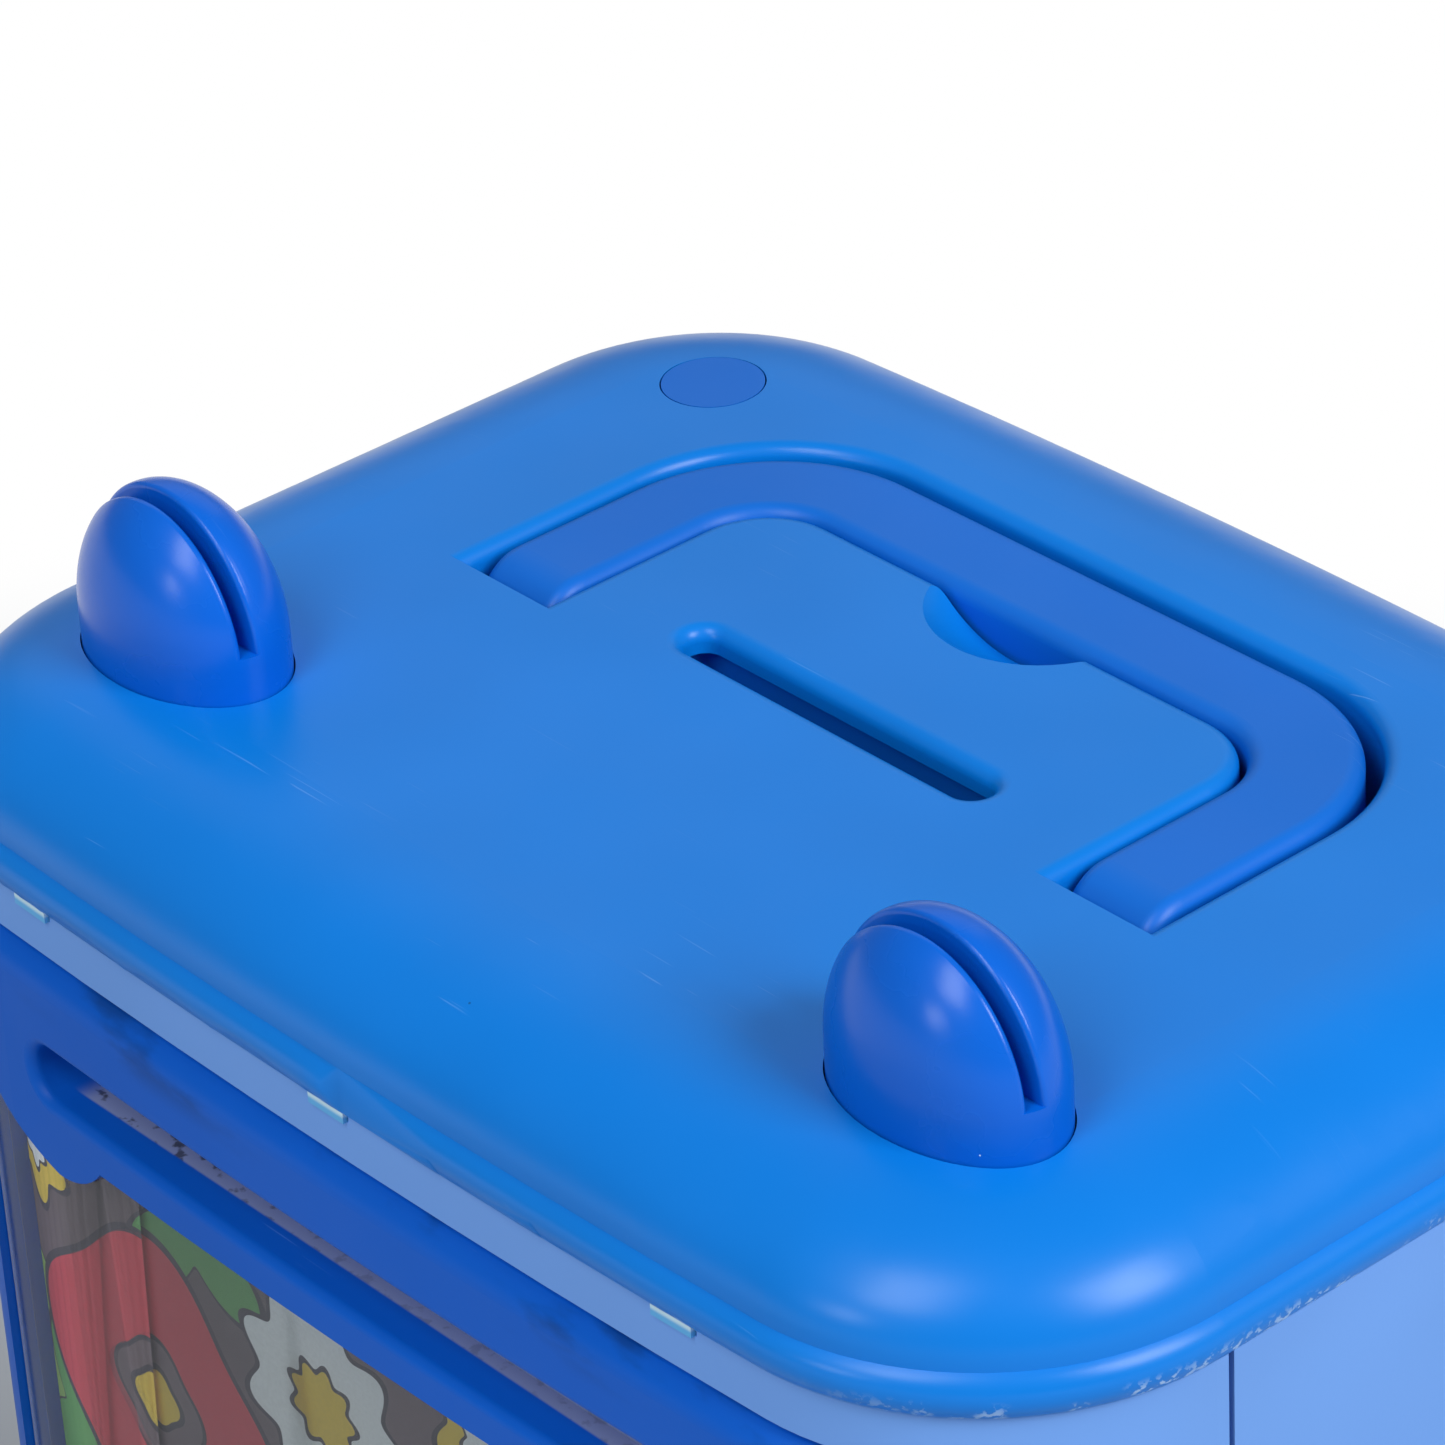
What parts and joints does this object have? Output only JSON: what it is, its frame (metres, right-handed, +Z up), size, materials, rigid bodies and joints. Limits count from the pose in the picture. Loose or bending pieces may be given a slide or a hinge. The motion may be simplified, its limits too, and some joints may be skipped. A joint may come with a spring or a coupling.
{
  "type": "money box",
  "caption": "Blue plastic money box with eared lid, folding carry handle, coin slot, banknote slot with feed rollers, hinged front door with code keypad, knob lock and picture window.",
  "frame": {"origin": "on the plane that the feet stand on, under the middle of the case", "axes": "+Z up, the front with its door faces -Y, +X to the right seen from the front"},
  "size_m": [0.15, 0.1116, 0.1942],
  "materials": {
    "lid_blue": "satin moulded ABS, bright blue",
    "ear_blue": "satin moulded ABS, deeper blue",
    "handle_blue": "satin moulded ABS, mid blue",
    "case_blue": "satin moulded ABS, pale blue",
    "door_blue": "satin moulded ABS, deep blue",
    "slot_grey": "moulded ABS, grey lavender",
    "clear_plastic": "clear polystyrene",
    "printed_card": null,
    "key_white": "moulded ABS, white",
    "keypad_rubber": "silicone rubber, grey",
    "board_green": "glass-epoxy board, green lacquer",
    "led_green": "clear green epoxy",
    "led_red": "clear red epoxy",
    "steel": "zinc-plated steel",
    "black_rubber": "black rubber",
    "gear_white": "moulded acetal, natural white",
    "black_metal": "black stamped steel",
    "cell_can": "labelled dry cell"
  },
  "bodies": {
    "case": {"lid": "lid_blue", "ear_left": "ear_blue", "ear_right": "ear_blue", "handle_pin_left": "steel", "handle_pin_right": "steel", "screw_plug_left": "handle_blue", "screw_plug_right": "handle_blue", "lid_screws": "steel", "coin_chute": "case_blue", "front_frame": "case_blue", "rear_shell": "case_blue", "speaker": "black_metal", "base_plate": "lid_blue", "base_screws": "steel", "rubber_feet": "black_rubber", "battery_box": "case_blue", "battery_cells": "cell_can", "battery_contacts": "steel", "battery_cover": "lid_blue", "battery_cover_screw": "steel", "hinge_pin_lower": "steel", "hinge_pin_upper": "steel"},
    "handle": {"carry_handle": "handle_blue"},
    "door": {"front_door": "door_blue", "window_pane": "clear_plastic", "picture_card": "printed_card", "note_guide": "slot_grey", "door_inner_cover": "case_blue", "cover_screws": "steel", "keypad_mat": "keypad_rubber", "keypad_board": "board_green", "led_green": "led_green", "led_red": "led_red", "solenoid_body": "steel", "feed_motor": "steel", "roller_bracket_left": "black_metal", "roller_bracket_right": "black_metal", "main_board": "board_green", "board_screws": "steel"},
    "knob": {"door_knob": "lid_blue", "knob_spindle": "steel", "latch_cam": "steel"},
    "plunger": {"solenoid_plunger": "steel"},
    "drive": {"drive_roller": "black_rubber", "drive_gear": "gear_white"},
    "idler": {"idler_roller": "black_rubber"},
    "pinion": {"motor_pinion": "gear_white"},
    "body_key_1": {"key_1": "key_white"},
    "body_key_2": {"key_2": "key_white"},
    "body_key_3": {"key_3": "key_white"},
    "body_key_4": {"key_4": "key_white"},
    "body_key_5": {"key_5": "key_white"},
    "body_key_6": {"key_6": "key_white"},
    "body_key_7": {"key_7": "key_white"},
    "body_key_8": {"key_8": "key_white"},
    "body_key_9": {"key_9": "key_white"},
    "body_key_clear": {"key_clear": "key_white"},
    "body_key_0": {"key_0": "key_white"},
    "body_key_enter": {"key_enter": "key_white"}
  },
  "joints": [
    {"name": "handle_fold", "type": "hinge", "parent": "case", "child": "handle", "pos_m": [0, 0.0003, 0.173], "axis": [1, 0, 0], "range_deg": [0, 90]},
    {"name": "door_swing", "type": "hinge", "parent": "case", "child": "door", "pos_m": [-0.0625, -0.04567, 0.089], "axis": [0, 0, -1], "range_deg": [0, 90]},
    {"name": "knob_turn", "type": "hinge", "parent": "door", "child": "knob", "pos_m": [0.042, -0.05488, 0.048], "axis": [0, 1, 0], "range_deg": [0, 90]},
    {"name": "lock_slide", "type": "slide", "parent": "door", "child": "plunger", "axis": [1, 0, 0], "range_m": [0, 0.003], "stiffness_N_per_m": 60},
    {"name": "drive_spin", "type": "hinge", "parent": "door", "child": "drive", "pos_m": [0, -0.03, 0.14415], "axis": [1, 0, 0], "continuous": true},
    {"name": "idler_spin", "type": "hinge", "parent": "door", "child": "idler", "pos_m": [0, -0.03, 0.15225], "axis": [1, 0, 0], "continuous": true},
    {"name": "pinion_spin", "type": "hinge", "parent": "door", "child": "pinion", "pos_m": [0.0425, -0.03, 0.1314], "axis": [1, 0, 0], "continuous": true},
    {"name": "key_1_press", "type": "slide", "parent": "door", "child": "body_key_1", "axis": [0, 1, 0], "range_m": [0, 0.001], "stiffness_N_per_m": 400},
    {"name": "key_2_press", "type": "slide", "parent": "door", "child": "body_key_2", "axis": [0, 1, 0], "range_m": [0, 0.001], "stiffness_N_per_m": 400},
    {"name": "key_3_press", "type": "slide", "parent": "door", "child": "body_key_3", "axis": [0, 1, 0], "range_m": [0, 0.001], "stiffness_N_per_m": 400},
    {"name": "key_4_press", "type": "slide", "parent": "door", "child": "body_key_4", "axis": [0, 1, 0], "range_m": [0, 0.001], "stiffness_N_per_m": 400},
    {"name": "key_5_press", "type": "slide", "parent": "door", "child": "body_key_5", "axis": [0, 1, 0], "range_m": [0, 0.001], "stiffness_N_per_m": 400},
    {"name": "key_6_press", "type": "slide", "parent": "door", "child": "body_key_6", "axis": [0, 1, 0], "range_m": [0, 0.001], "stiffness_N_per_m": 400},
    {"name": "key_7_press", "type": "slide", "parent": "door", "child": "body_key_7", "axis": [0, 1, 0], "range_m": [0, 0.001], "stiffness_N_per_m": 400},
    {"name": "key_8_press", "type": "slide", "parent": "door", "child": "body_key_8", "axis": [0, 1, 0], "range_m": [0, 0.001], "stiffness_N_per_m": 400},
    {"name": "key_9_press", "type": "slide", "parent": "door", "child": "body_key_9", "axis": [0, 1, 0], "range_m": [0, 0.001], "stiffness_N_per_m": 400},
    {"name": "key_clear_press", "type": "slide", "parent": "door", "child": "body_key_clear", "axis": [0, 1, 0], "range_m": [0, 0.001], "stiffness_N_per_m": 400},
    {"name": "key_0_press", "type": "slide", "parent": "door", "child": "body_key_0", "axis": [0, 1, 0], "range_m": [0, 0.001], "stiffness_N_per_m": 400},
    {"name": "key_enter_press", "type": "slide", "parent": "door", "child": "body_key_enter", "axis": [0, 1, 0], "range_m": [0, 0.001], "stiffness_N_per_m": 400}
  ],
  "couplings": [
    {"joint": "idler_spin", "follows": "drive_spin", "ratio": -1},
    {"joint": "pinion_spin", "follows": "drive_spin", "ratio": -2}
  ]
}
